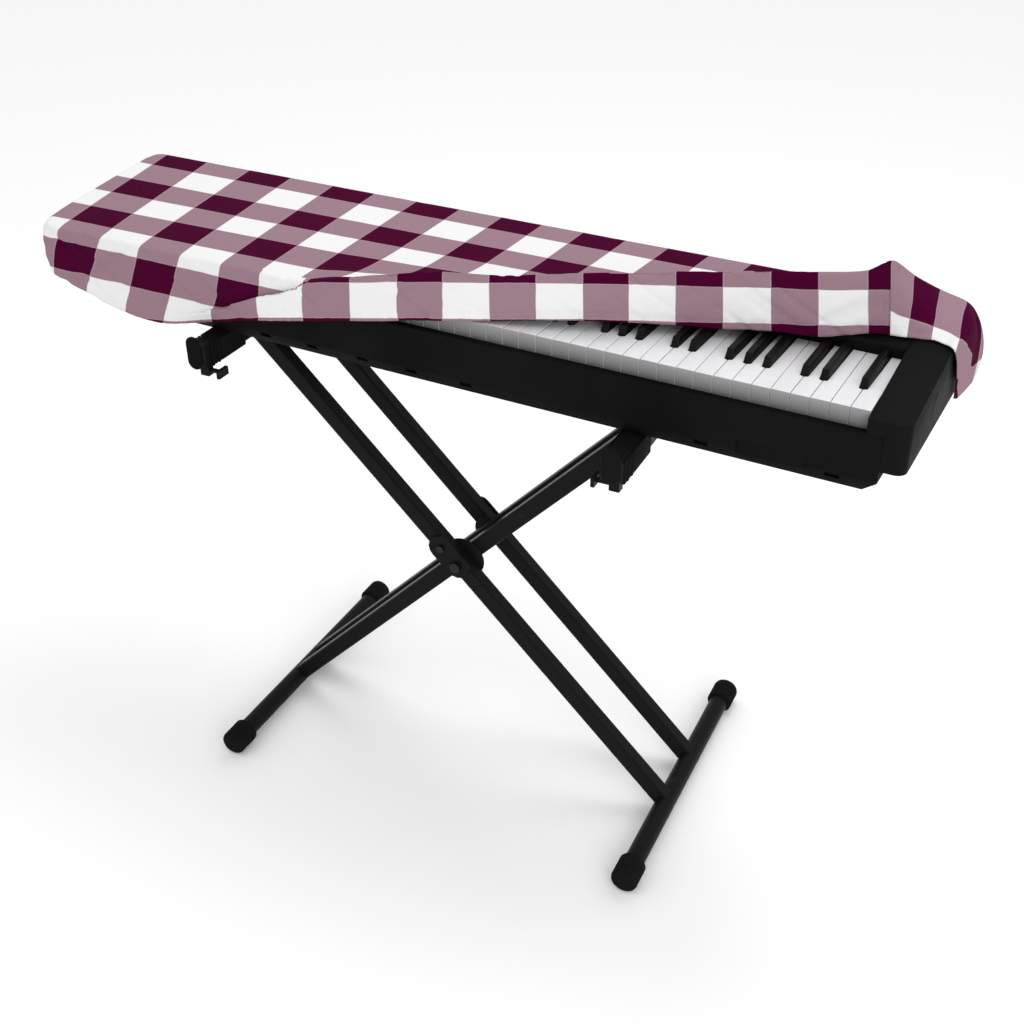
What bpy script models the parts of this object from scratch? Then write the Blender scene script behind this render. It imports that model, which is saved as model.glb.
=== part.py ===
"""A fitted cloth cover, its front pulled up off the keys, on a keyboard and a double-braced X stand."""

import math

import bmesh
import bpy
from mathutils import Matrix, Vector

MM = 0.001

# Driving sizes, in millimetres
# The part's origin is on the floor, under the middle of the whole outline.
# Keyboard sizes are measured from the right end of the white keys' top front edge.
KEY_DATUM = (595.0, -146.0, 821.0)
STAND_PLACE = (3.0, 0.0, 0.0)
GAP = 0.3

# Keyboard
KEY_PITCH = 23.5
WHITE_KEYS = 45
WHITE_SLOT = 0.9
WHITE_DEPTH = 146.0
WHITE_HEIGHT = 23.5
KEY_STRIP = 6.0
BLACK_WIDTH = 11.0
BLACK_FRONT = 50.0
BLACK_HEIGHT = 11.0
BLACK_SLOPE = 7.0
CASE_LEFT = -1241.0
CASE_RIGHT = 50.0
CASE_FRONT = -10.0
CASE_REAR = 262.0
CASE_BOTTOM = -102.0
CASE_TOP_AT_DATUM = -3.0
CASE_TOP_SLOPE = 0.125
LEFT_END_BOTTOM = -50.0
RIGHT_END_BOTTOM = -68.0
TRAY_TOP = -24.3
TRAY_LEFT_INSET = 75.0
TRAY_RIGHT_INSET = 29.0
TRAY_CHAMFER_UP = 18.0
TRAY_CHAMFER_IN = 10.0
END_EDGE_RADIUS = 9.0

# Stand
STAND_TURN = 3.0
TUBE_WIDE = 26.0
TUBE_DEEP = 22.0
TUBE_EDGE = 3.0
FOOT_REACH = 346.0
FOOT_RADIUS = 15.0
FOOT_HALF = 237.0
CAP_RADIUS = 21.0
CAP_LENGTH = 43.0
CAP_SIDES = 16
ARM_WIDE = 30.0
ARM_HIGH = 32.0
ARM_REAR = 150.0
PLATE_WIDE = 28.0
PLATE_HIGH = 52.0
PLATE_THICK = 4.0
PLATE_LIFT = 10.0
PIVOT_PLATE_WIDE = 42.0
PIVOT_PLATE_THICK = 3.0
LOCK_RADIUS = 34.0
REAR_LOCK_RADIUS = 25.0
REAR_PLATE_WIDE = 30.0
AXLE_RADIUS = 8.0
LOCK_PIN_AWAY = 36.0

# The arms: side | hand | x | front end
ARMS = [(-1, "left", -350.0, -189.0), (1, "right", 299.0, -236.0)]

# The legs: name | side of the foot | depth of the middle | x of the top
LEGS = [
    ("leg_outer_front", 1, -59.0, -339.0),
    ("leg_outer_rear", 1, 51.0, -339.0),
    ("leg_inner_front", -1, -34.0, 314.0),
    ("leg_inner_rear", -1, 26.0, 314.0),
]

# Cover
CLOTH = 1.1
SEAM_INSET = 3.2
SEAM_OUT = 0.2
COVER_REAR_HEM = -74.0
COVER_REAR_Y = 267.0
COVER_REAR_Z = 33.8
ROWS_LIP = 3
ROWS_TUCK = 1
ROWS_WALL = 2
ROWS_TOP = 11
ROWS_SIDE = ROWS_LIP + ROWS_TUCK + ROWS_WALL
STATIONS_PER_CHECK = 2.6

# The front of the cover, one row for each section from the left end to the right corner:
# check column | hem x, y, z | upper edge x, y, z | rear edge x, y
FRONT = [
    (-0.44, -1247, 6, -52, -1247, 4, 7, -1259, 246),
    (-0.38, -1246, -6, -56, -1244, -7, 8, -1257, 258),
    (-0.26, -1243, -13, -62, -1234, -14, 8, -1250, 265),
    (0.0, -1235, -16, -69, -1206, -16, 8, -1238, 267),
    (1.0, -1174, -17, -86, -1125, -16, 8, -1154, 267),
    (2.0, -1101, -17, -103, -1051, -16, 8, -1070, 267),
    (3.0, -1027, -18, -105, -977, -16, 8, -989, 267),
    (4.0, -933, -19, -83, -905, -16, 9, -911, 267),
    (5.0, -847, -19, -63, -838, -16, 9, -834, 267),
    (6.0, -770, -19, -47, -766, -16, 11, -761, 267),
    (7.0, -692, -17, -31, -688, -16, 28, -689, 267),
    (8.0, -618, -16, -16, -617, -13, 48, -619, 267),
    (9.0, -551, -12, -3, -551, -7, 61, -552, 267),
    (10.0, -489, 1, 5, -491, 5, 66, -486, 267),
    (11.0, -432, 18, 11, -434, 22, 72, -422, 267),
    (12.0, -375, 36, 15, -379, 40, 78, -360, 267),
    (13.0, -323, 58, 15, -327, 61, 82, -299, 267),
    (14.0, -270, 80, 14, -275, 83, 85, -240, 267),
    (15.0, -214, 97, 14, -221, 100, 89, -183, 267),
    (16.0, -158, 112, 17, -167, 115, 95, -127, 267),
    (17.0, -103, 128, 15, -114, 131, 98, -73, 267),
    (18.0, -50, 153, 21, -62, 154, 101, -20, 267),
    (18.46, -26, 162, 21, -39, 163, 112, 12, 267),
]

# The flap's lip, where it laps over the front wall: check column | lip height | depth of the tuck
LIP = [(-0.44, 24.0, 0.0), (2.4, 28.0, 0.0), (3.0, 12.0, 1.0), (3.5, 15.0, 7.0), (4.0, 22.0, 9.0),
       (5.0, 38.0, 9.0), (5.7, 47.0, 7.0), (6.2, 49.0, 1.5), (6.6, 40.0, 0.0), (18.46, 36.0, 0.0)]
DEEPEST_TUCK = 9.0

# How far the front wall swells out to the left, round the left corner: check column | swell
SWELL = [(-0.44, 6.0), (-0.26, 6.0), (0.0, 3.0), (1.0, 0.0), (18.46, 0.0)]

# How the raised edge falls away behind itself: check column | power of the curve
FALL = [(-0.44, 4.8), (10.0, 4.8), (15.0, 3.6), (17.0, 2.4), (18.0, 1.5), (18.46, 1.0)]

# The right end panel: check column | upper edge x, y, z | hem x, y, z | bulge
RIGHT_END = [
    (0.0, -39, 163, 112, -26, 162, 21, 0),
    (1.0, -16, 197, 85, -6, 161, 22.5, 5),
    (2.0, 10, 238, 56, 22, 169, 23.5, 9),
    (3.0, 40, 262, 40, 54.5, 157, 18, 13),
    (3.4, 50, 266, 35, 56, 198, -37, 11),
    (3.7, 55, 268, 33, 57, 216, -66, 9),
    (4.0, 59, 269, 31, 62, 277, -73, 8),
]


def clear_scene():
    for thing in list(bpy.data.objects):
        bpy.data.objects.remove(thing, do_unlink=True)


def collection(name):
    group = bpy.data.collections.new(name)
    bpy.context.scene.collection.children.link(group)
    return group


def material(name, colour, roughness, metallic=0.0):
    surface = bpy.data.materials.new(name)
    surface.use_nodes = True
    shader = surface.node_tree.nodes["Principled BSDF"]
    shader.inputs["Base Color"].default_value = (*colour, 1.0)
    shader.inputs["Roughness"].default_value = roughness
    shader.inputs["Metallic"].default_value = metallic
    return surface


def add_object(name, mesh, group, surface=None, parent=None):
    thing = bpy.data.objects.new(name, mesh)
    group.objects.link(thing)
    if surface is not None:
        mesh.materials.append(surface)
    thing.parent = parent
    return thing


def mesh_from(name, shape):
    mesh = bpy.data.meshes.new(name)
    bmesh.ops.recalc_face_normals(shape, faces=shape.faces)
    shape.to_mesh(mesh)
    shape.free()
    return mesh


def box_shape(low, high):
    """A box between two corners, given in millimetres."""
    shape = bmesh.new()
    bmesh.ops.create_cube(shape, size=1.0)
    size = [(b - a) * MM for a, b in zip(low, high)]
    centre = [(b + a) * MM / 2 for a, b in zip(low, high)]
    bmesh.ops.scale(shape, vec=size, verts=shape.verts)
    bmesh.ops.translate(shape, vec=centre, verts=shape.verts)
    return shape


def slice_off(shape, point, normal):
    """Cut the shape at a plane and drop what lies on the normal's side."""
    geometry = shape.verts[:] + shape.edges[:] + shape.faces[:]
    cut = bmesh.ops.bisect_plane(shape, geom=geometry, plane_co=Vector(point) * MM,
                                 plane_no=Vector(normal), clear_outer=True)
    edges = [part for part in cut["geom_cut"] if isinstance(part, bmesh.types.BMEdge)]
    bmesh.ops.holes_fill(shape, edges=edges)


def cylinder_shape(radius, length, sides=24, axis="Y"):
    """A cylinder about the origin along one axis, in millimetres."""
    shape = bmesh.new()
    bmesh.ops.create_cone(shape, cap_ends=True, segments=sides, radius1=radius * MM,
                          radius2=radius * MM, depth=length * MM)
    turn = {"X": Matrix.Rotation(math.pi / 2, 3, "Y"), "Y": Matrix.Rotation(math.pi / 2, 3, "X"),
            "Z": Matrix.Identity(3)}[axis]
    bmesh.ops.rotate(shape, matrix=turn, verts=shape.verts)
    return shape


def soften(thing, width, segments=2, angle=35.0):
    bevel = thing.modifiers.new("soft edges", "BEVEL")
    bevel.width = width * MM
    bevel.segments = segments
    bevel.limit_method = "ANGLE"
    bevel.angle_limit = math.radians(angle)


def cut(thing, cutter):
    step = thing.modifiers.new("cut", "BOOLEAN")
    step.operation = "DIFFERENCE"
    step.object = cutter


def smooth(mesh, angle=40.0):
    mesh.shade_smooth()
    mesh.set_sharp_from_angle(angle=math.radians(angle))


def hidden_cutter(name, shape, group, parent=None):
    cutter = add_object(name, mesh_from(name, shape), group, parent=parent)
    cutter.hide_render = True
    cutter.display_type = "WIRE"
    return cutter


def case_top(y):
    return CASE_TOP_AT_DATUM + CASE_TOP_SLOPE * y


def sloped_block(low, high):
    """A block of the case whose top slopes down towards the player."""
    tall = case_top(high[1]) + 5.0
    shape = box_shape(low, (high[0], high[1], tall))
    slice_off(shape, (0.0, 0.0, CASE_TOP_AT_DATUM), (0.0, -CASE_TOP_SLOPE, 1.0))
    return shape


def build_case(group, cutters, parent, shell, base):
    """The lower tray, the two end blocks and the panel behind the keys."""
    tray_left = CASE_LEFT + TRAY_LEFT_INSET
    tray_right = CASE_RIGHT - TRAY_RIGHT_INSET
    shape = box_shape((tray_left, CASE_FRONT, CASE_BOTTOM), (tray_right, CASE_REAR, TRAY_TOP))
    rise = TRAY_CHAMFER_UP
    inward = TRAY_CHAMFER_IN
    slice_off(shape, (0.0, CASE_FRONT, CASE_BOTTOM + rise), (0.0, -rise, -inward))
    slice_off(shape, (0.0, CASE_REAR, CASE_BOTTOM + rise), (0.0, rise, -inward))
    slice_off(shape, (tray_right, 0.0, CASE_BOTTOM + rise), (rise, 0.0, -rise))
    slice_off(shape, (tray_left, 0.0, CASE_BOTTOM + rise), (-rise, 0.0, -rise))
    add_object("case_tray", mesh_from("case_tray", shape), group, base, parent)

    keys_left = -WHITE_KEYS * KEY_PITCH
    past = 5.0
    ends = [
        ("end_block_left", CASE_LEFT, keys_left - GAP, LEFT_END_BOTTOM, tray_left - GAP, keys_left + past),
        ("end_block_right", GAP, CASE_RIGHT, RIGHT_END_BOTTOM, -past, tray_right + GAP),
    ]
    for name, left, right, bottom, notch_left, notch_right in ends:
        shape = sloped_block((left, CASE_FRONT, bottom), (right, CASE_REAR, 0.0))
        block = add_object(name, mesh_from(name, shape), group, shell, parent)
        soften(block, END_EDGE_RADIUS, 3)
        notch = box_shape((notch_left, CASE_FRONT - past, bottom - past),
                          (notch_right, CASE_REAR + past, TRAY_TOP + GAP))
        cut(block, hidden_cutter(name + "_notch", notch, cutters, parent))

    shape = sloped_block((keys_left, WHITE_DEPTH + GAP, TRAY_TOP + GAP), (0.0, CASE_REAR, 0.0))
    panel = add_object("rear_panel", mesh_from("rear_panel", shape), group, shell, parent)
    soften(panel, 2.0, 1)


def outline_object(name, points, low, high, group, surface, parent):
    """A flat outline in plan, raised between two heights, as a mesh."""
    curve = bpy.data.curves.new(name, "CURVE")
    curve.dimensions = "2D"
    curve.fill_mode = "BOTH"
    curve.extrude = (high - low) * MM / 2
    spline = curve.splines.new("POLY")
    spline.points.add(len(points) - 1)
    for place, (x, y) in zip(spline.points, points):
        place.co = (x * MM, y * MM, 0.0, 1.0)
    spline.use_cyclic_u = True
    drawing = bpy.data.objects.new(name + "_outline", curve)
    bpy.context.scene.collection.objects.link(drawing)
    evaluated = drawing.evaluated_get(bpy.context.evaluated_depsgraph_get())
    mesh = bpy.data.meshes.new_from_object(evaluated)
    bpy.data.objects.remove(drawing, do_unlink=True)
    shape = bmesh.new()
    shape.from_mesh(mesh)
    bmesh.ops.remove_doubles(shape, verts=shape.verts, dist=0.00001)
    bmesh.ops.translate(shape, vec=(0.0, 0.0, (high + low) * MM / 2), verts=shape.verts)
    return add_object(name, mesh_from(name, shape), group, surface, parent)


def comb(teeth, front, back, root):
    """A comb in plan: teeth from the right to the left, joined along a strip at the back."""
    points = [(teeth[0][1], back)]
    for left, right in teeth:
        points += [(right, root), (right, front), (left, front), (left, root)]
    points[1:2] = []
    points[-1:] = []
    points.append((teeth[-1][0], back))
    return points


def build_keys(group, parent, ivory, ebony):
    """The white keys, parted by narrow slots, and the black keys on them."""
    whites = []
    for key in range(WHITE_KEYS):
        right = -key * KEY_PITCH - WHITE_SLOT / 2
        whites.append((right - KEY_PITCH + WHITE_SLOT, right))
    outline = comb(whites, 0.0, WHITE_DEPTH, WHITE_DEPTH - KEY_STRIP)
    outline_object("white_keys", outline, -WHITE_HEIGHT, 0.0, group, ivory, parent)

    blacks = []
    for seam in range(1, WHITE_KEYS):
        if seam % 7 in (2, 5):
            continue
        centre = -seam * KEY_PITCH
        blacks.append((centre - BLACK_WIDTH / 2, centre + BLACK_WIDTH / 2))
    outline = comb(blacks, BLACK_FRONT, WHITE_DEPTH, WHITE_DEPTH - KEY_STRIP)
    keys = outline_object("black_keys", outline, GAP, BLACK_HEIGHT, group, ebony, parent)
    shape = bmesh.new()
    shape.from_mesh(keys.data)
    slice_off(shape, (0.0, BLACK_FRONT + 1.0, 0.0), (0.0, -BLACK_HEIGHT, BLACK_SLOPE))
    bmesh.ops.recalc_face_normals(shape, faces=shape.faces)
    shape.to_mesh(keys.data)
    shape.free()


def foot_height():
    return CAP_RADIUS * math.cos(math.pi / CAP_SIDES)


def arm_centre():
    return KEY_DATUM[2] + CASE_BOTTOM - GAP - ARM_HIGH / 2


def pivot():
    """Where the two legs of an X cross, seen from the front: x and height."""
    rise = arm_centre() - foot_height()
    down, up = LEGS[0][3], LEGS[-1][3]
    share = 2 * FOOT_REACH / (up - down + 2 * FOOT_REACH)
    return FOOT_REACH + (down - FOOT_REACH) * share, foot_height() + rise * share


def build_feet(group, parent, steel, rubber):
    """Two round bars along the floor, with a rubber cap on each end."""
    for side, hand in ((-1, "left"), (1, "right")):
        shape = cylinder_shape(FOOT_RADIUS, FOOT_HALF * 2)
        bar = add_object("foot_bar_" + hand, mesh_from("foot_bar", shape), group, steel, parent)
        bar.location = Vector((side * FOOT_REACH, 0.0, foot_height())) * MM
        smooth(bar.data)
        for end, where in ((-1, "front"), (1, "rear")):
            name = "foot_cap_" + hand + "_" + where
            cap = add_object(name, cap_mesh(name), group, rubber, parent)
            turn = Matrix.Rotation(math.pi / 2 * -end, 4, "X")
            quarter = Matrix.Rotation(math.pi / CAP_SIDES, 4, "Z")
            place = Vector((side * FOOT_REACH, end * (FOOT_HALF + GAP), foot_height())) * MM
            cap.matrix_local = Matrix.Translation(place) @ turn @ quarter


def cap_mesh(name):
    """A turned rubber cup: its floor is at z = 0 and its mouth points down the local -Z."""
    inner = FOOT_RADIUS + GAP
    floor = 6.0
    mouth = floor - CAP_LENGTH
    profile = [(0.0, floor), (CAP_RADIUS - 5.0, floor), (CAP_RADIUS, floor - 5.0),
               (CAP_RADIUS, mouth + 3.0), (CAP_RADIUS - 2.5, mouth), (inner, mouth),
               (inner, 0.0), (0.0, 0.0)]
    shape = bmesh.new()
    edge_points = [shape.verts.new((r * MM, 0.0, z * MM)) for r, z in profile]
    edges = [shape.edges.new(pair) for pair in zip(edge_points, edge_points[1:])]
    bmesh.ops.spin(shape, geom=edge_points + edges, cent=(0, 0, 0), axis=(0, 0, 1),
                   angle=math.tau, steps=CAP_SIDES, use_merge=True)
    bmesh.ops.remove_doubles(shape, verts=shape.verts, dist=0.00001)
    return mesh_from(name, shape)


def build_legs(group, cutters, parent, steel):
    """Four square tubes: an outer and an inner X, cut to fit the feet and the arms."""
    for side, hand, arm_x, arm_front in ARMS:
        shape = cylinder_shape(FOOT_RADIUS + GAP, FOOT_HALF * 2, 24)
        foot = hidden_cutter("foot_cut_" + hand, shape, cutters, parent)
        foot.location = Vector((side * FOOT_REACH, 0.0, foot_height())) * MM
        reach = ARM_WIDE / 2 + 40.0
        low = arm_centre() - ARM_HIGH / 2 - GAP
        shape = box_shape((arm_x - reach, arm_front, low), (arm_x + reach, ARM_REAR, low + 80.0))
        hidden_cutter("arm_cut_" + hand, shape, cutters, parent)
    for name, side, depth, top_x in LEGS:
        foot = Vector((side * FOOT_REACH, depth, foot_height()))
        top = Vector((top_x, depth, arm_centre()))
        length = (top - foot).length
        shape = box_shape((-length / 2, -TUBE_DEEP / 2, -TUBE_WIDE / 2),
                          (length / 2, TUBE_DEEP / 2, TUBE_WIDE / 2))
        leg = add_object(name, mesh_from(name, shape), group, steel, parent)
        leg.location = (foot + top) / 2 * MM
        leg.rotation_euler = (0.0, -math.atan2(top.z - foot.z, top.x - foot.x), 0.0)
        soften(leg, TUBE_EDGE, 2)
        cut(leg, cutters.objects["foot_cut_" + ("right" if side > 0 else "left")])
        cut(leg, cutters.objects["arm_cut_" + ("left" if side > 0 else "right")])


def stadium(wide, long):
    """An upright outline with straight sides and round ends."""
    radius = wide / 2
    straight_part = long / 2 - radius
    points = []
    for centre, start in ((straight_part, 0.0), (-straight_part, math.pi)):
        for step in range(9):
            angle = start + math.pi * step / 8
            points.append((radius * math.cos(angle), centre + radius * math.sin(angle)))
    return points


def build_pivot(group, parent, steel, bright):
    """Plates on the outer tubes with a bolt and a lock pin, lock discs, and the axle."""
    x, height = pivot()
    along = Vector((LEGS[0][3] - FOOT_REACH, arm_centre() - foot_height())).normalized()
    half = PIVOT_PLATE_THICK / 2
    for end, outer, inner, where, wide, disc in (
            (-1, LEGS[0], LEGS[2], "front", PIVOT_PLATE_WIDE, LOCK_RADIUS),
            (1, LEGS[1], LEGS[3], "rear", REAR_PLATE_WIDE, REAR_LOCK_RADIUS)):
        face = outer[2] + end * (TUBE_DEEP / 2 + GAP)
        plate = outline_object("pivot_plate_" + where, stadium(wide, wide + LOCK_PIN_AWAY), -half, half,
                               group, steel, parent)
        middle = Vector((x + along.x * LOCK_PIN_AWAY / 2, face + end * half,
                         height + along.y * LOCK_PIN_AWAY / 2)) * MM
        plate.matrix_local = (Matrix.Translation(middle)
                              @ Matrix.Rotation(math.atan2(along.x, along.y), 4, "Y")
                              @ Matrix.Rotation(math.pi / 2, 4, "X"))
        thin = abs(outer[2] - inner[2]) - TUBE_DEEP - 2 * GAP
        on_plate = face + end * (PIVOT_PLATE_THICK + GAP)
        rounds = [("pivot_bolt_" + where, 9.0, 6.0, 0.0, on_plate + end * 3.0, 6, bright),
                  ("lock_pin_" + where, 6.0, 4.0, LOCK_PIN_AWAY, on_plate + end * 2.0, 16, bright),
                  ("lock_disc_" + where, disc, thin, 0.0, (outer[2] + inner[2]) / 2, 28, steel)]
        for name, radius, thick, away, depth, sides, surface in rounds:
            shape = cylinder_shape(radius, thick, sides)
            piece = add_object(name, mesh_from(name, shape), group, surface, parent)
            piece.location = Vector((x + along.x * away, depth, height + along.y * away)) * MM
    front, rear = LEGS[2][2], LEGS[3][2]
    shape = cylinder_shape(AXLE_RADIUS, rear - front - TUBE_DEEP - 2 * GAP)
    axle = add_object("pivot_axle", mesh_from("pivot_axle", shape), group, steel, parent)
    axle.location = Vector((x, (front + rear) / 2, height)) * MM
    smooth(axle.data)


def build_arms(group, cutters, parent, steel, rubber):
    """The two arms under the keyboard, their end plates and the wing screws below them."""
    for side, hand, x, front in ARMS:
        half = (ARM_WIDE / 2, ARM_HIGH / 2)
        shape = box_shape((x - half[0], front, arm_centre() - half[1]),
                          (x + half[0], ARM_REAR, arm_centre() + half[1]))
        arm = add_object("arm_" + hand, mesh_from("arm", shape), group, steel, parent)
        soften(arm, 4.0, 2)
        for y, end, where in ((front, -1, "front"), (ARM_REAR, 1, "rear")):
            name = "arm_plate_" + hand + "_" + where
            plate = outline_object(name, stadium(PLATE_WIDE, PLATE_HIGH), 0.0, PLATE_THICK,
                                   group, rubber, parent)
            offset = y - GAP if end < 0 else y + GAP + PLATE_THICK
            height = arm_centre() + PLATE_LIFT
            plate.matrix_local = (Matrix.Translation(Vector((x, offset, height)) * MM)
                                  @ Matrix.Rotation(math.pi / 2, 4, "X"))
        build_wing_screw(group, cutters, parent, steel, (x, front, hand, -side))


def build_wing_screw(group, cutters, parent, steel, place):
    """A lug below the arm, and a screw through it with two wings, towards the stand's middle."""
    x, front, hand, inward = place
    name = "wing_screw_" + hand
    lug = box_shape((-7.0, -6.0, -20.0), (7.0, 6.0, 0.0))
    screw = add_object(name, mesh_from(name, lug), group, steel, parent)
    screw.location = Vector((x, front + 20.0, arm_centre() - ARM_HIGH / 2 - GAP)) * MM
    stem = cylinder_shape(3.5, 22.0, 12, "X")
    bmesh.ops.translate(stem, vec=Vector((inward * 16.0, 0.0, -12.0)) * MM, verts=stem.verts)
    wings = box_shape((-2.5, -11.0, -6.0), (2.5, 11.0, 6.0))
    bmesh.ops.translate(wings, vec=Vector((inward * 27.0, 0.0, -12.0)) * MM, verts=wings.verts)
    for label, shape in (("_stem", stem), ("_wings", wings)):
        tool = hidden_cutter(name + label, shape, cutters, parent)
        tool.location = screw.location
        join = screw.modifiers.new("join", "BOOLEAN")
        join.operation = "UNION"
        join.object = tool


def blend(table, column, field):
    """Read a table between its rows, in a smooth curve through them."""
    keys = [row[0] for row in table]
    column = min(max(column, keys[0]), keys[-1])
    index = max(i for i in range(len(keys) - 1) if keys[i] <= column + 1e-9)
    left, right = table[index], table[index + 1]
    span = right[0] - left[0]
    share = (column - left[0]) / span

    def slope(at):
        before = table[max(at - 1, 0)]
        after = table[min(at + 1, len(table) - 1)]
        return (after[field] - before[field]) / (after[0] - before[0])

    cubed, squared = share ** 3, share ** 2
    places = (2 * cubed - 3 * squared + 1) * left[field] + (3 * squared - 2 * cubed) * right[field]
    slopes = (cubed - 2 * squared + share) * slope(index) + (cubed - squared) * slope(index + 1)
    return places + slopes * span


def straight(table, column, field):
    """Read a table between its rows, in straight lines."""
    for left, right in zip(table, table[1:]):
        if column <= right[0]:
            share = (column - left[0]) / (right[0] - left[0])
            return left[field] + (right[field] - left[field]) * share
    return table[-1][field]


def level(y):
    """Height of the taut top of the cover at a depth."""
    front_y, front_z = -16.0, 9.0
    return front_z + (COVER_REAR_Z - front_z) * (y - front_y) / (COVER_REAR_Y - front_y)


def steps(count):
    return [step / count for step in range(count + 1)]


def front_wall(column):
    """Points from the hem up to the upper edge, with the lip and its tuck where the flap laps."""
    hem = Vector([blend(FRONT, column, field) for field in (1, 2, 3)])
    edge = Vector([blend(FRONT, column, field) for field in (4, 5, 6)])
    height = edge.z - hem.z
    tuck = straight(LIP, column, 2)
    lift = min(straight(LIP, column, 1), height * 0.9)
    back = lift + (height - lift) / 3 * (1 - tuck / DEEPEST_TUCK) - tuck
    lip = hem.lerp(edge, lift / height)
    lip.y -= min(tuck, 6.0)
    valley = hem.lerp(edge, back / height)
    valley.y += 0.4 * min(tuck, 2.0)
    points = [hem.lerp(lip, share) for share in steps(ROWS_LIP)]
    points += [lip.lerp(valley, share) for share in steps(ROWS_TUCK)[1:]]
    points += [valley.lerp(edge, share) for share in steps(ROWS_WALL)[1:]]
    for point in points:
        point.x -= straight(SWELL, column, 1) * math.sin(math.pi * (point.z - hem.z) / height)
    return points


def top_profile(column):
    """Points from the upper front edge back to the rear edge."""
    edge = Vector([blend(FRONT, column, field) for field in (4, 5, 6)])
    rear = Vector((blend(FRONT, column, 7), blend(FRONT, column, 8), 0.0))
    rear.z = level(rear.y)
    rise = edge.z - level(edge.y)
    power = straight(FALL, column, 1)
    points = []
    for share in steps(ROWS_TOP):
        share = share ** 1.25
        point = edge.lerp(rear, share)
        point.z = level(point.y) + rise * max(1.0 - share / 0.85, 0.0) ** power
        points.append(point)
    return points


def end_top():
    """The upper edge of the right end panel, from the corner seam back to the rear corner."""
    last = RIGHT_END[-1][0]
    return [Vector([blend(RIGHT_END, share * last, field) for field in (1, 2, 3)])
            for share in steps(ROWS_TOP)]


def rear_wall(rear):
    """Points from the rear edge down to the rear hem, which hugs the case's back."""
    lean = COVER_REAR_Y - (CASE_REAR + GAP + CLOTH)
    hem = Vector((rear.x, rear.y - lean, COVER_REAR_HEM))
    return [rear.lerp(hem, share) for share in steps(ROWS_SIDE)]


def cover_grid():
    """Sections of the cover, each from the front hem over the top to the rear hem."""
    first, last = FRONT[0][0], FRONT[-1][0]
    count = round((last - first) * STATIONS_PER_CHECK)
    columns = [FRONT[1][0], FRONT[2][0]] + [first + (last - first) * share for share in steps(count)]
    sections = []
    for column in sorted(columns):
        top = end_top() if column == last else top_profile(column)
        sections.append(front_wall(column)[:-1] + top + rear_wall(top[-1])[1:])
    corner = RIGHT_END[-1]
    bottom = Vector(corner[4:7])
    section = sections[-1]
    start = ROWS_SIDE + ROWS_TOP
    for row, share in enumerate(steps(ROWS_SIDE)):
        point = section[start].lerp(bottom, share)
        point += Vector((1.0, 0.6, 0.0)) * corner[7] * math.sin(math.pi * share)
        section[start + row] = point
    return sections


def end_panel(section, hem, bulge):
    """A grid down from a section's top edge to a hem line, joined to its front and rear walls."""
    top = section[ROWS_SIDE:ROWS_SIDE + ROWS_TOP + 1]
    front = section[:ROWS_SIDE + 1][::-1]
    rear = section[ROWS_SIDE + ROWS_TOP:]
    grid = []
    for across, share in enumerate(steps(ROWS_TOP)):
        line = []
        for down, fall in enumerate(steps(ROWS_SIDE)):
            point = top[across].lerp(hem[across], fall) + bulge(share, fall)
            edges = (front[down] - (top[0].lerp(hem[0], fall) + bulge(0.0, fall))) * (1 - share)
            edges += (rear[down] - (top[-1].lerp(hem[-1], fall) + bulge(1.0, fall))) * share
            line.append(point + edges)
        grid.append(line)
    return grid


def right_bulge(share, fall):
    amount = blend(RIGHT_END, share * RIGHT_END[-1][0], 7)
    outward = Vector((1.0, -0.35 + 0.95 * share, 0.45 * (1 - share)))
    return outward * amount * math.sin(math.pi * fall)


def left_bulge(share, fall):
    return Vector((-3.0 * math.sin(math.pi * fall) * math.sin(math.pi * share), 0.0, 0.0))


def lay_grid(grid, flip=False):
    """A sheet through a grid of points, and the grid of its vertices."""
    shape = bmesh.new()
    corners = [[shape.verts.new(point * MM) for point in line] for line in grid]
    for one, two in zip(corners, corners[1:]):
        for a, b, c, d in zip(one, one[1:], two[1:], two):
            shape.faces.new((d, c, b, a) if flip else (a, b, c, d))
    shape.normal_update()
    return shape, corners


def inside(line, neighbours):
    """A panel's edge moved under the edge of the cloth that it is sewn to."""
    points = []
    for corner, neighbour in zip(line, neighbours):
        away = corner.co - neighbour.co
        away -= corner.normal * away.dot(corner.normal)
        points.append(corner.co / MM - corner.normal * SEAM_INSET + away.normalized() * SEAM_OUT)
    return points


def add_cloth(name, shape, group, parent, cloth):
    mesh = bpy.data.meshes.new(name)
    shape.to_mesh(mesh)
    shape.free()
    panel = add_object(name, mesh, group, cloth, parent)
    thick = panel.modifiers.new("cloth thickness", "SOLIDIFY")
    thick.thickness = CLOTH * MM
    thick.offset = -1.0
    smooth(mesh, 50.0)


def build_cover(group, parent, cloth):
    """The long panel over the front, top and back, and a panel sewn in at each end."""
    sections = cover_grid()
    shape, corners = lay_grid(sections, True)
    left = inside(corners[0], corners[1])
    right = inside(corners[-1], corners[-2])
    add_cloth("cover_main", shape, group, parent, cloth)
    hem = [left[0].lerp(left[-1], share) for share in steps(ROWS_TOP)]
    shape, corners = lay_grid(end_panel(left, hem, left_bulge), True)
    add_cloth("cover_end_left", shape, group, parent, cloth)
    last = RIGHT_END[-1][0]
    hem = [Vector([blend(RIGHT_END, share * last, field) for field in (4, 5, 6)])
           for share in steps(ROWS_TOP)]
    shape, corners = lay_grid(end_panel(right, hem, right_bulge))
    add_cloth("cover_end_right", shape, group, parent, cloth)


def empty(name, group, place, turn=0.0):
    holder = bpy.data.objects.new(name, None)
    group.objects.link(holder)
    holder.location = Vector(place) * MM
    holder.rotation_euler = (0.0, 0.0, math.radians(turn))
    return holder


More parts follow.
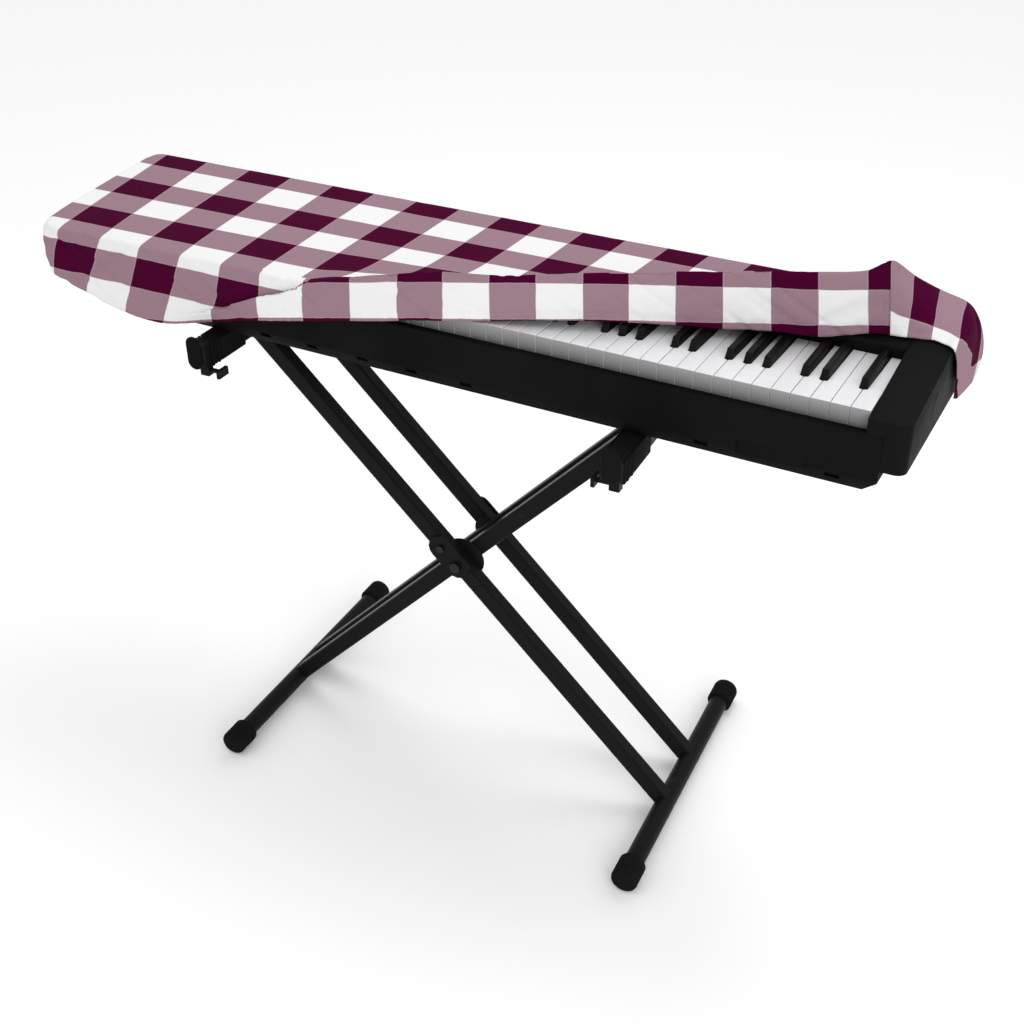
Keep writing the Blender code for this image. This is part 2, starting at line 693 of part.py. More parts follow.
def main():
    clear_scene()
    part = collection("piano_cover_on_keyboard")
    cutters = collection("cutters")
    cloth = material("woven_cloth", (0.16, 0.02, 0.09), 0.9)
    shell = material("case_plastic", (0.012, 0.012, 0.013), 0.45)
    base = material("tray_plastic", (0.02, 0.02, 0.022), 0.6)
    ivory = material("key_white", (0.82, 0.82, 0.83), 0.25)
    ebony = material("key_black", (0.01, 0.01, 0.01), 0.3)
    steel = material("stand_steel", (0.012, 0.012, 0.013), 0.4, 0.2)
    bright = material("bolt_steel", (0.05, 0.05, 0.05), 0.35, 0.6)
    rubber = material("cap_rubber", (0.01, 0.01, 0.01), 0.7)

    keyboard = empty("keyboard", part, KEY_DATUM)
    stand = empty("stand", part, STAND_PLACE, STAND_TURN)
    build_case(part, cutters, keyboard, shell, base)
    build_keys(part, keyboard, ivory, ebony)
    build_cover(part, keyboard, cloth)
    build_feet(part, stand, steel, rubber)
    build_legs(part, cutters, stand, steel)
    build_pivot(part, stand, steel, bright)
    build_arms(part, cutters, stand, steel, rubber)


main()
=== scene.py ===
"""Looks of a checked cloth cover on a keyboard and its double-braced X stand."""

import math

import bmesh
import bpy
from mathutils import Matrix, Vector, noise


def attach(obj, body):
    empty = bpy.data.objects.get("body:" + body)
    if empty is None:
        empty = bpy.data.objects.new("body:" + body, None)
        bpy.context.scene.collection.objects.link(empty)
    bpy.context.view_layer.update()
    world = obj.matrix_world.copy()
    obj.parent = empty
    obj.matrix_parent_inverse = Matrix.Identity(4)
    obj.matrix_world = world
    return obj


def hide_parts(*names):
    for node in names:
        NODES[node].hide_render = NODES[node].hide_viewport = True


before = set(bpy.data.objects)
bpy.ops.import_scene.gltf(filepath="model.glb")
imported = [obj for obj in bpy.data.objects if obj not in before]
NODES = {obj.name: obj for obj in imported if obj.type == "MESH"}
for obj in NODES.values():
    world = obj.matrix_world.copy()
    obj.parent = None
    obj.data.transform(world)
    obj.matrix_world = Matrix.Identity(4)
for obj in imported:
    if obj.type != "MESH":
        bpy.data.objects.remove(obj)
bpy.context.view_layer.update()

MM = 0.001

# Places and sizes, in millimetres. Keyboard sizes start at the right end of the white keys' front edge.
KEY_DATUM = Vector((595.0, -146.0, 821.0))
STAND_PLACE = Vector((3.0, 0.0, 0.0))
STAND_TURN = 3.0
KEY_PITCH = 23.5
WHITE_KEYS = 45
WHITE_SLOT = 0.9
WHITE_DEPTH = 146.0
WHITE_HEIGHT = 23.5
WHITE_EDGE = 1.1
WHITE_DIP = 0.25
WHITE_CUT = 1.0
WHITE_STEP = 1.5
BLACK_WIDTH = 11.0
BLACK_FRONT = 50.0
BLACK_HEIGHT = 11.0
BLACK_ROOT = -3.7
BLACK_TAPER = 1.1
BLACK_NOSE = 6.5
CASE_LEFT = -1241.0
CASE_RIGHT = 50.0
CASE_FRONT = -10.0
CASE_REAR = 262.0
CASE_BOTTOM = -102.0
TRAY_TOP = -24.3
TRAY_LEFT_INSET = 75.0
TRAY_RIGHT_INSET = 29.0
CHAMFER_RISE = 18.0
CHAMFER_INWARD = 10.0
GAP = 0.3
CUT_CLEAR = 5.0

# Slots in the tray's chamfer, and the recess below the right keys
TRAY_SLOTS = [-846.0, -767.0, -684.0, -606.0, -522.0, -194.0, -32.0]
SLOT_REACH = 9.0
SLOT_LOW = -92.0
SLOT_HIGH = -85.0
RECESS_LEFT = -149.0
RECESS_RIGHT = -62.0
RECESS_LOW = -89.0
RECESS_HIGH = -70.0
RECESS_DEEP = 3.0

# Cheeks of the case: hand | side | bottom
CHEEKS = [("left", -1, -50.0), ("right", 1, -68.0)]
CHEEK_SLOPE = 0.125
CHEEK_LEVEL = -3.0
CHEEK_TALL = 45.0
CHEEK_ROUND = 26.0
FRONT_CORNER = 13.0
REAR_CORNER = 10.0
NOTCH_LOW = -80.0

# Camera: place, turn to the left, tilt down and roll in degrees, focal length in pixels of the frame
CAMERA_PLACE = (881.985, -1498.62, 1531.054)
CAMERA_TURN = -28.837
CAMERA_TILT = 32.413
CAMERA_ROLL = -0.371
CAMERA_FOCAL = 1343.66
FRAME_PIXELS = 1024.0

# Stand: arms as hand | x | front end | lift of the end plate
ARM_WIDE = 30.0
ARM_HIGH = 32.0
ARM_LOW = KEY_DATUM.z + CASE_BOTTOM - GAP - ARM_HIGH
ARM_REAR = 150.0
ARMS = [("left", -350.0, -189.0, 6.0), ("right", 299.0, -236.0, 9.5)]
PLATE_WIDE = 24.0
PLATE_HIGH = 50.0
PLATE_THICK = 4.0
PLATE_EDGE = 1.4
PLATE_STEPS = 16

# Rings of a sleeve: start behind the plate | end behind the plate | extra size
SLEEVE_RINGS = [(5.0, 13.0, 2.0), (14.5, 20.0, 2.8), (21.5, 27.0, 2.0), (28.5, 34.0, 2.8),
                (35.5, 95.0, 2.2)]
SLEEVE_LONG = 100.0
SLEEVE_DROP = 0.5

# The crossing of the legs, and the discs there: where | depth | thickness | radius
PIVOT_X = -6.4
PIVOT_Z = 371.5
LOCK_DISCS = [("front", -46.5, 2.4, 33.5), ("rear", 38.5, 2.4, 24.5)]
DISC_HUB = 9.0
DISC_EDGE_IN = 1.0
DISC_EDGE_DEEP = 0.6

# Rubber feet
CAP_RADIUS = 20.55
CAP_LONG = 43.0
CAP_NOSE = 6.0
CAP_GROOVE = 1.1
CAP_GROOVES = [-9.0, -19.0]
FOOT_X = 346.0
FOOT_Y = 237.3
FOOT_Z = 20.6

# Cover
CLOTH = 1.1
CHECK = 48.0
SEAM_INSET = 1.2
COVER_REAR_HEM = -74.0
COVER_REAR_Y = 267.0
COVER_REAR_Z = 33.8
TOP_FRONT_Y = -16.0
TOP_FRONT_Z = 9.0
TOP_SLOPE = (COVER_REAR_Z - TOP_FRONT_Z) / (COVER_REAR_Y - TOP_FRONT_Y)
DEEPEST_TUCK = 9.0
STATION = 2.1
COLUMN_WIDE = 62.0
CORNER_COLUMN_WIDE = 120.0
ROWS_FRONT = 28
ROWS_TOP = 34
ROWS_REAR = 12
REAR_SPACING = 1.6
ROWS_ROLLED = 2
ROWS_END = 26
RELAX_ROUNDS = 3
FALL_REACH = 0.85
CASING = 11.0
SEAM_START = 18.08

# Check columns where the flap's checks begin and are complete, and where its whole height is flap
FLAP_START = 2.4
FLAP_FULL = 3.0
RAISED_START = 5.85
RAISED_FULL = 6.1

# Places of two lines of the checks: the wall's row line, and the flap's lowest row
WALL_ROW = 7.0
WALL_ROW_Z = -10.0
HEM_ROW = 9.0

# How far the cloth stands out: slack, slanting pulls two ways, gathers and the hem's casing
SLACK = 0.9
PULL_DEPTH = 5.2
CROSS_DEPTH = 3.8
GATHER_DEPTH = 0.85
CASING_DEPTH = 0.8
REAR_SLACK = 0.35
REAR_MOST = 0.9
REAR_CELL = 8.0
END_CELL = 3.4

# Checks on the right end panel above its row line
END_ROW = 8.0
END_UPPER_CHECK = 68.0
THREADS = 44

# The front of the cover, one row for each section from the left end to the right corner:
# check column | hem x, y, z | upper edge x, y, z | rear edge x, y
FRONT = [
    (-0.44, -1247, 6, -52, -1247, 4, 7, -1259, 246),
    (-0.38, -1246, -6, -56, -1244, -7, 8, -1257, 258),
    (-0.26, -1243, -13, -62, -1234, -14, 8, -1250, 265),
    (0.0, -1235, -16, -69, -1206, -16, 8, -1238, 267),
    (1.0, -1174, -17, -86, -1125, -16, 8, -1154, 267),
    (2.0, -1101, -17, -103, -1051, -16, 8, -1070, 267),
    (3.0, -1027, -18, -105, -977, -16, 8, -989, 267),
    (4.0, -933, -19, -83, -905, -16, 9, -911, 267),
    (5.0, -847, -19, -63, -838, -16, 9, -834, 267),
    (6.0, -770, -19, -47, -766, -16, 11, -761, 267),
    (6.5, -731, -18, -39, -727, -16, 22, -725, 267),
    (7.0, -692, -17, -31, -688, -16, 31, -689, 267),
    (8.0, -618, -16, -16, -617, -13, 52, -619, 267),
    (9.0, -551, -12, -3, -551, -7, 64, -552, 267),
    (10.0, -489, 1, 5, -491, 5, 67, -486, 267),
    (11.0, -432, 18, 11, -434, 22, 72, -422, 267),
    (12.0, -375, 36, 15, -379, 40, 78, -360, 267),
    (13.0, -323, 58, 15, -327, 61, 82, -299, 267),
    (14.0, -270, 80, 14, -275, 83, 85, -240, 267),
    (15.0, -214, 97, 14, -221, 100, 89, -183, 267),
    (16.0, -158, 112, 17, -167, 115, 95, -127, 267),
    (17.0, -103, 128, 15, -114, 131, 98, -73, 267),
    (18.0, -50, 153, 21, -62, 154, 101, -20, 267),
    (18.2, -40, 157, 21, -51, 158, 110.5, -6, 267),
    (18.35, -33, 160, 21, -45, 161, 114, 4, 267),
    (18.46, -26, 162, 21, -39, 163, 114.3, 12, 267),
]
LAST = FRONT[-1][0]

# The flap's lip, where it laps over the front wall: check column | lip height | depth of the tuck
LIP = [(-0.44, 24.0, 0.0), (2.4, 28.0, 0.0), (3.0, 13.0, 1.0), (3.5, 18.0, 7.0), (4.0, 26.0, 9.0),
       (5.0, 40.5, 9.0), (5.5, 46.5, 8.0), (5.85, 52.0, 5.0), (6.1, 55.0, 0.5), (6.6, 52.0, 0.0),
       (18.46, 36.0, 0.0)]

# How far the front wall swells out to the left, round the left corner: check column | swell
SWELL = [(-0.44, 6.0), (-0.26, 6.0), (0.0, 3.0), (1.0, 0.0), (18.46, 0.0)]

# How the raised edge falls away behind itself: check column | power of the curve
FALL = [(-0.44, 4.8), (10.0, 4.8), (15.0, 3.6), (17.0, 2.4), (18.0, 1.5), (18.46, 1.0)]

# The right end panel: check column | upper edge x, y, z | hem x, y, z | bulge
RIGHT_END = [
    (0.0, -39, 163, 114.3, -26, 162, 21, 0),
    (0.45, -29, 177, 103.5, -20, 161, 21.5, 2),
    (1.0, -16, 197, 85, -6, 161, 22.5, 5),
    (2.0, 10, 238, 56, 22, 169, 23.5, 9),
    (2.5, 24, 250, 47, 38, 165, 22.5, 11),
    (3.0, 39, 261, 38, 54.5, 157, 18, 13),
    (3.4, 47, 266, 30, 57, 195, -35, 11),
    (3.7, 52, 268, 23, 57, 207, -69, 9),
    (4.0, 57, 268, 15, 62, 277, -73, 8),
]

# Rows of checks on the flap: check column | last row's height above the hem | height of the row above it
FLAP_ROWS = [(2.4, 5.4, 52.0), (5.0, 5.4, 58.5), (6.0, 5.2, 56.2), (7.0, 4.4, 55.3), (8.0, 4.2, 53.5),
             (9.0, 3.2, 51.4), (11.0, 1.5, 48.6), (12.0, 2.2, 48.1), (13.0, 3.0, 49.4),
             (14.0, 4.6, 50.9), (15.0, 8.3, 53.9), (16.0, 9.8, 55.0), (17.0, 15.5, 59.9),
             (18.0, 10.9, 55.0), (18.46, 12.4, 56.5)]

# Lines between the rows of checks on the top: row | y at column 0 | y gained with each column
TOP_ROWS = [(0.0, 320.0, 0.0), (1.0, 264.0, 0.0), (2.0, 223.0, 0.2), (3.0, 166.0, 0.85),
            (4.0, 113.0, 1.5), (5.0, 62.0, 2.3), (6.0, 12.0, 1.5), (6.63, -16.0, 0.0), (7.6, -60.0, 0.0)]

# Lines between the columns of checks on the top: column | x at the front | x at the rear
TOP_COLUMNS = [(-0.44, -1247, -1259), (0.0, -1206, -1238), (1.0, -1125, -1154), (2.0, -1051, -1070),
               (3.0, -977, -989), (4.0, -905, -911), (5.0, -840, -834), (6.0, -775, -761),
               (7.0, -709, -686), (8.0, -641, -617), (9.0, -579, -551), (10.0, -517, -487),
               (11.0, -461, -421), (12.0, -401, -359), (13.0, -344, -299), (14.0, -287, -240),
               (15.0, -231, -183), (16.0, -175, -127), (17.0, -121, -73), (18.0, -68, -20),
               (19.0, -15, 33), (20.0, 38, 86)]

# Checks on the right end panel:
# check column | row line's share of the way down | lean of the columns | size of the row below
END_CHECKS = [(0.0, 0.67, 0.0, 50.0), (0.5, 0.71, 0.05, 50.0), (0.9, 0.71, 0.08, 50.0),
              (1.3, 0.73, 0.15, 50.0), (1.76, 0.77, 0.24, 50.0), (2.35, 0.81, 0.34, 50.0),
              (2.65, 0.835, 0.40, 50.0), (2.85, 0.85, 0.38, 50.0), (3.18, 0.77, 0.30, 40.0),
              (3.41, 0.66, 0.22, 31.0), (3.65, 0.64, 0.16, 30.0), (3.88, 0.62, 0.12, 45.0),
              (4.0, 0.62, 0.10, 50.0)]


def body_place(point):
    """A point on the keyboard, from its own millimetres to the frame's metres."""
    return (Vector(point) + KEY_DATUM) * MM


def add_piece(name, shape, material, node, flat=False):
    """A new piece that stands for CAD nodes, rides on the body and takes a slot's finish."""
    mesh = bpy.data.meshes.new(name)
    shape.to_mesh(mesh)
    shape.free()
    if not flat:
        mesh.shade_smooth()
        mesh.set_sharp_from_angle(angle=math.radians(38.0))
    mesh.materials.append(material)
    thing = bpy.data.objects.new(name, mesh)
    bpy.context.scene.collection.objects.link(thing)
    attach(thing, "root")
    if node:
        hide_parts(*([node] if isinstance(node, str) else node))
    return thing


# Materials


class Nodes:
    """Short ways to add and join shader nodes."""

    def __init__(self, name):
        self.material = bpy.data.materials.new(name)
        self.material.use_nodes = True
        self.tree = self.material.node_tree
        self.shader = self.tree.nodes["Principled BSDF"]

    def add(self, kind, **values):
        node = self.tree.nodes.new(kind)
        for key, value in values.items():
            setattr(node, key, value)
        return node

    def put(self, socket, value):
        if isinstance(value, bpy.types.NodeSocket):
            self.tree.links.new(value, socket)
        elif isinstance(value, tuple) and len(value) == 3 and len(socket.default_value) == 4:
            socket.default_value = (*value, 1.0)
        else:
            socket.default_value = value

    def math(self, operation, first, second=None):
        node = self.add("ShaderNodeMath", operation=operation)
        for socket, value in zip(node.inputs, (first, second)):
            if value is not None:
                self.put(socket, value)
        return node.outputs[0]

    def mix(self, factor, first, second):
        node = self.add("ShaderNodeMix", data_type="RGBA")
        self.put(node.inputs[0], factor)
        self.put(node.inputs[6], first)
        self.put(node.inputs[7], second)
        return node.outputs[2]

    def noise(self, scale, detail=2.0, stretch=None):
        node = self.add("ShaderNodeTexNoise")
        node.inputs["Scale"].default_value = scale
        node.inputs["Detail"].default_value = detail
        source = self.add("ShaderNodeTexCoord").outputs["Object"]
        if stretch:
            mapping = self.add("ShaderNodeMapping")
            mapping.inputs["Scale"].default_value = stretch
            self.put(mapping.inputs["Vector"], source)
            source = mapping.outputs[0]
        self.put(node.inputs["Vector"], source)
        return node.outputs["Fac"]

    def ramp(self, value, low, high, start=0.0, end=1.0):
        node = self.add("ShaderNodeMapRange")
        for socket, number in zip(node.inputs, (value, low, high, start, end)):
            self.put(socket, number)
        return node.outputs[0]

    def bump(self, height, strength, distance, under=None):
        node = self.add("ShaderNodeBump")
        node.inputs["Strength"].default_value = strength
        node.inputs["Distance"].default_value = distance
        self.put(node.inputs["Height"], height)
        if under is not None:
            self.put(node.inputs["Normal"], under)
        return node.outputs[0]

    def finish(self, colour, roughness, normal=None, **flat):
        self.put(self.shader.inputs["Base Color"], colour)
        self.put(self.shader.inputs["Roughness"], roughness)
        if normal is not None:
            self.put(self.shader.inputs["Normal"], normal)
        for key, value in flat.items():
            self.shader.inputs[key.replace("_", " ")].default_value = value
        return self.material


def cloth_material():
    """A plain-woven check: plum and pale threads cross, with a fine pale line between the checks."""
    make = Nodes("checked_cloth")
    chart = make.add("ShaderNodeUVMap", uv_map="checks")
    split = make.add("ShaderNodeSeparateXYZ")
    make.put(split.inputs[0], chart.outputs[0])
    stripes, edges, threads = [], [], []
    for axis, parity in ((0, 0.0), (1, 1.0)):
        place = split.outputs[axis]
        half = make.math("MULTIPLY", make.math("ADD", place, parity), 0.5)
        share = make.math("FRACT", half)
        stripes.append(make.math("LESS_THAN", share, 0.5))
        cell = make.math("FRACT", place)
        away = make.math("MINIMUM", cell, make.math("SUBTRACT", 1.0, cell))
        edges.append(make.ramp(away, 0.006, 0.014, 1.0, 0.0))
        threads.append(make.math("SINE", make.math("MULTIPLY", place, math.tau * THREADS)))
    amount = make.math("MULTIPLY", make.math("ADD", stripes[0], stripes[1]), 0.5)
    cross = make.math("MULTIPLY", threads[0], threads[1])
    weave = make.ramp(cross, -0.6, 0.6, 0.0, 1.0)
    mottle = make.noise(900.0, 3.0)
    fade = make.noise(14.0, 3.0)
    plum = make.mix(fade, (0.050, 0.0009, 0.019), (0.064, 0.0014, 0.026))
    both = make.mix(make.ramp(mottle, 0.3, 0.7), (0.275, 0.170, 0.210), (0.315, 0.200, 0.242))
    pale = make.mix(mottle, (0.75, 0.75, 0.75), (0.80, 0.80, 0.80))
    lower = make.mix(make.math("GREATER_THAN", amount, 0.25), pale, both)
    colour = make.mix(make.math("GREATER_THAN", amount, 0.75), lower, plum)
    line = make.math("MAXIMUM", edges[0], edges[1])
    line = make.math("MULTIPLY", line, make.ramp(mottle, 0.3, 0.6, 0.2, 0.4))
    colour = make.mix(line, colour, (0.62, 0.52, 0.56))
    depth = make.math("ADD", make.math("MULTIPLY", weave, 0.6), make.math("MULTIPLY", mottle, 0.4))
    soft = make.bump(make.noise(38.0, 4.0), 0.22, 0.003)
    normal = make.bump(depth, 0.22, 0.00025, soft)
    return make.finish(colour, make.ramp(mottle, 0.2, 0.8, 0.78, 0.92), normal,
                       Sheen_Weight=0.006, Sheen_Roughness=0.5, IOR=1.06)


def plastic_material(name, dark, light, roughness, grain=1500.0, strength=0.25):
    """Moulded plastic with a fine grain and faint handling marks."""
    make = Nodes(name)
    broad = make.noise(7.0, 3.0)
    fine = make.noise(grain, 2.0)
    marks = make.noise(60.0, 4.0, stretch=(0.3, 1.0, 1.0))
    colour = make.mix(make.ramp(broad, 0.3, 0.7), dark, light)
    rough = make.math("ADD", make.ramp(marks, 0.3, 0.7, roughness - 0.05, roughness + 0.06),
                      make.ramp(fine, 0.3, 0.7, -0.03, 0.03))
    return make.finish(colour, rough, make.bump(fine, strength, 0.00015), IOR=1.07)


def steel_material(name, colour, roughness):
    """Powder-coated steel: an orange-peel skin with small rubbed places."""
    make = Nodes(name)
    peel = make.noise(420.0, 3.0)
    fine = make.noise(1900.0, 2.0)
    rub = make.noise(34.0, 6.0, stretch=(1.0, 1.0, 3.0))
    worn = make.ramp(rub, 0.66, 0.74)
    shade = make.mix(make.math("MULTIPLY", worn, 0.35), colour, tuple(4 * c for c in colour))
    normal = make.bump(peel, 0.25, 0.0004, make.bump(fine, 0.12, 0.0001))
    rough = make.math("ADD", make.ramp(peel, 0.3, 0.7, roughness - 0.06, roughness + 0.08),
                      make.math("MULTIPLY", worn, -0.08))
    return make.finish(shade, rough, normal, IOR=1.13)


def metal_material(name, colour, roughness):
    """Plated steel with turning marks."""
    make = Nodes(name)
    brush = make.noise(240.0, 4.0, stretch=(1.0, 1.0, 8.0))
    return make.finish(make.mix(brush, colour, tuple(0.55 * c for c in colour)),
                       make.ramp(brush, 0.3, 0.7, roughness - 0.07, roughness + 0.1),
                       make.bump(brush, 0.15, 0.0001), Metallic=0.85)


def key_material(name, dark, light, roughness, coat, front=None):
    """Smooth moulded key tops with faint unevenness in the gloss; the fronts carry painted shade, a darker
    colour that grows darker still towards their foot.
    """
    make = Nodes(name)
    haze = make.noise(26.0, 3.0)
    fine = make.noise(900.0, 2.0)
    colour = make.mix(haze, dark, light)
    # Painted shade: faces turned to the front take the darker front colour, down to 0.35 of it at the keys'
    # foot.
    if front:
        painted_shade_facing = make.add("ShaderNodeSeparateXYZ")
        make.put(painted_shade_facing.inputs[0], make.add("ShaderNodeNewGeometry").outputs["True Normal"])
        place = make.add("ShaderNodeSeparateXYZ")
        make.put(place.inputs[0], make.add("ShaderNodeTexCoord").outputs["Object"])
        foot, head = (KEY_DATUM.z - WHITE_HEIGHT) * MM, (KEY_DATUM.z - 2.0) * MM
        height = make.ramp(place.outputs[2], foot, head)
        shade = make.mix(height, tuple(0.35 * c for c in front), front)
        colour = make.mix(make.ramp(painted_shade_facing.outputs[1], -0.5, -0.8), colour, shade)
    return make.finish(colour, make.ramp(haze, 0.3, 0.7, roughness, roughness + 0.08),
                       make.bump(fine, 0.06, 0.0001), Coat_Weight=coat, Coat_Roughness=0.12,
                       Specular_IOR_Level=0.08)


# Reading the tables


def blend(table, column, field):
    """Read a table between its rows, in a smooth curve through them."""
    keys = [row[0] for row in table]
    column = min(max(column, keys[0]), keys[-1])
    index = max(i for i in range(len(keys) - 1) if keys[i] <= column + 1e-9)
    left, right = table[index], table[index + 1]
    span = right[0] - left[0]
    share = (column - left[0]) / span

    def slope(at):
        before = table[max(at - 1, 0)]
        after = table[min(at + 1, len(table) - 1)]
        return (after[field] - before[field]) / (after[0] - before[0])

    cubed, squared = share ** 3, share ** 2
    return ((2 * cubed - 3 * squared + 1) * left[field]
            + (cubed - 2 * squared + share) * span * slope(index)
            + (3 * squared - 2 * cubed) * right[field]
            + (cubed - squared) * span * slope(index + 1))


def straight(table, column, field=1):
    """Read a table between its rows, in straight lines."""
    for left, right in zip(table, table[1:]):
        if column <= right[0]:
            share = max(column - left[0], 0.0) / (right[0] - left[0])
            return left[field] + (right[field] - left[field]) * share
    return table[-1][field]


def top_check(x, y):
    """The column and row of checks at a place of the top, measured along the cloth from its rear edge."""
    share = (y - TOP_FRONT_Y) / (COVER_REAR_Y - TOP_FRONT_Y)
    lines = [(front + (rear - front) * share, column) for column, front, rear in TOP_COLUMNS]
    column = straight(lines, x)
    lines = [(-depth - gain * column, row) for row, depth, gain in TOP_ROWS]
    return column, straight(lines, -y)


def level(y):
    """Height of the taut top of the cover at a depth."""
    return COVER_REAR_Z + TOP_SLOPE * (y - COVER_REAR_Y)


def steps(count):
    return [step / count for step in range(count + 1)]


def ease(low, high, value):
    """A smooth step from 0 at the first number to 1 at the second."""
    share = min(max((value - low) / (high - low), 0.0), 1.0)
    return share * share * (3 - 2 * share)


# The cover's long panel


def front_marks(column):
    """Hem, lip, valley and upper edge of the front wall."""
    hem = Vector([blend(FRONT, column, field) for field in (1, 2, 3)])
    edge = Vector([blend(FRONT, column, field) for field in (4, 5, 6)])
    height = edge.z - hem.z
    tuck = straight(LIP, column, 2)
    lift = min(straight(LIP, column, 1), height * 0.9)
    back = lift + (height - lift) / 3 * (1 - tuck / DEEPEST_TUCK) - tuck
    lip = hem.lerp(edge, lift / height)
    lip.y -= min(tuck, 6.0)
    valley = hem.lerp(edge, back / height)
    valley.y += 0.4 * min(tuck, 2.0)
    marks = [hem, lip, valley, edge]
    for point in marks:
        point.x -= straight(SWELL, column) * math.sin(math.pi * (point.z - hem.z) / height)
    return marks


def run_lengths(points):
    """How far along a line of points each of them lies."""
    lengths = [0.0]
    for one, two in zip(points, points[1:]):
        lengths.append(lengths[-1] + (two - one).length)
    return lengths


def along(points, shares):
    """Points at shares of the length of a line of points."""
    lengths = run_lengths(points)
    found, index = [], 0
    for share in shares:
        place = share * lengths[-1]
        while index < len(points) - 2 and lengths[index + 1] < place:
            index += 1
        span = max(lengths[index + 1] - lengths[index], 1e-6)
        found.append(points[index].lerp(points[index + 1], (place - lengths[index]) / span))
    return found


def top_points(column):
    """Points from the upper front edge back to the rear edge."""
    edge = Vector([blend(FRONT, column, field) for field in (4, 5, 6)])
    rear = Vector((blend(FRONT, column, 7), blend(FRONT, column, 8), 0.0))
    rear.z = level(rear.y)
    rise = edge.z - level(edge.y)
    power = straight(FALL, column)
    points = []
    for step in steps(ROWS_TOP):
        from_edge, from_rear = step ** 1.3, 1.0 - (1.0 - step) ** 1.6
        share = from_edge * (1.0 - step) + from_rear * step
        point = edge.lerp(rear, share)
        point.z = level(point.y) + rise * max(1.0 - share / FALL_REACH, 0.0) ** power
        points.append(point)
    return points


def end_top():
    """The upper edge of the right end panel, from the corner seam back to the rear corner."""
    last = RIGHT_END[-1][0]
    return [Vector([blend(RIGHT_END, share * last, field) for field in (1, 2, 3)])
            for share in steps(ROWS_TOP)]


def rear_wall(rear):
    """Points from the rear edge down to the rear hem, which hugs the case's back."""
    lean = COVER_REAR_Y - (CASE_REAR + GAP + CLOTH)
    hem = Vector((rear.x, rear.y - lean, COVER_REAR_HEM))
    return [rear.lerp(hem, share ** REAR_SPACING) for share in steps(ROWS_REAR)]


def flap_row(column, height):
    """The row of checks at a height above the hem, along the flap."""
    low = straight(FLAP_ROWS, column, 1)
    high = straight(FLAP_ROWS, column, 2)
    return HEM_ROW - (height - low) / (high - low)


def wall_row(z):
    return WALL_ROW + (WALL_ROW_Z - z) / CHECK


def front_rows(column, corners, front):
    """The rows of checks at the points of one section's front wall."""
    if column <= FLAP_START:
        return [wall_row(point.z) for point in front]
    _, lip_at, valley_at, edge_at = run_lengths(corners)
    raised = ease(RAISED_START, RAISED_FULL, column)
    stop = lip_at + (edge_at - lip_at) * raised
    join = valley_at + (edge_at - valley_at) * raised
    share_in = ease(FLAP_START, FLAP_FULL, column)
    valley = corners[2]
    rows = []
    for share, point in zip(steps(ROWS_FRONT), front):
        place = share * edge_at
        if place <= stop:
            row = flap_row(column, place)
        elif place <= join and join > stop + 0.01:
            part = (place - stop) / (join - stop)
            row = flap_row(column, stop) * (1 - part) + wall_row(valley.z) * part
        else:
            row = wall_row(point.z)
        rows.append(row * share_in + wall_row(point.z) * (1 - share_in))
    return rows


def section(column):
    """Points of one section from the front hem to the rear hem, and the rows of checks on its front."""
    corners = front_marks(column)
    front = along(corners, steps(ROWS_FRONT))
    rows = front_rows(column, corners, front)
    part = max(column - SEAM_START, 0.0) / (LAST - SEAM_START)
    top = top_points(min(column, SEAM_START))
    if part:
        top = [one.lerp(two, part) for one, two in zip(top, end_top())]
    rear = rear_wall(top[-1])
    if part:
        bottom = Vector(RIGHT_END[-1][4:7])
        for index, share in enumerate(steps(ROWS_REAR)):
            share = share ** REAR_SPACING
            point = top[-1].lerp(bottom, share)
            point += Vector((1.0, 0.6, 0.0)) * RIGHT_END[-1][7] * math.sin(math.pi * share)
            rear[index] = rear[index].lerp(point, part)
    return front + top[1:] + rear[1:], rows


def relax(points, rounds):
    """Round off the bends along a section, keeping its two ends."""
    for _ in range(rounds):
        middle = [(a + b * 2 + c) / 4 for a, b, c in zip(points, points[1:], points[2:])]
        points = [points[0]] + middle + [points[-1]]
    return points


def creases(place, height, flap):
    """How far the cloth stands out at a place: slack, slanting pulls and the gathered casing of the hem."""
    broad = noise.noise(place * 0.012 + Vector((3.1, 7.7, 1.9)))
    out = SLACK * (0.5 + 0.5 * broad)
    slant = place.x * 0.045 + place.z * 0.070 + place.y * 0.02
    pull = noise.noise(Vector((slant, place.z * 0.012, place.x * 0.004)))
    cross = noise.noise(Vector((place.x * 0.030 - place.z * 0.055, place.z * 0.010 + 4.0, place.y * 0.02)))
    patch = 0.35 + 0.65 * ease(-0.25, 0.35, noise.noise(place * 0.011 + Vector((11.0, 2.0, 5.0))))
    out += (PULL_DEPTH * max(pull, 0.0) ** 1.3 + CROSS_DEPTH * max(cross, 0.0) ** 1.3) * patch * flap
    fade = math.exp(-max(height - CASING, 0.0) / 7.0)
    ripple = noise.noise(Vector((place.x * 0.30, place.y * 0.30, height * 0.010)))
    ripple += 0.7 * noise.noise(Vector((place.x * 0.14 + 9.0, place.y * 0.14, height * 0.02)))
    out += fade * (0.5 + 0.9 * ripple) * GATHER_DEPTH * flap
    out += CASING_DEPTH * ease(CASING + 2.5, CASING - 0.5, height) * flap
    return max(out, 0.0)


def grid_normals(grid, flip):
    """The outward direction at each point of a grid of points."""
    found = []
    for i, line in enumerate(grid):
        row = []
        for j, point in enumerate(line):
            across = grid[min(i + 1, len(grid) - 1)][j] - grid[max(i - 1, 0)][j]
            down = line[min(j + 1, len(line) - 1)] - line[max(j - 1, 0)]
            normal = down.cross(across) if flip else across.cross(down)
            row.append(normal.normalized() if normal.length > 1e-9 else Vector((0, 0, 1)))
        found.append(row)
    return found


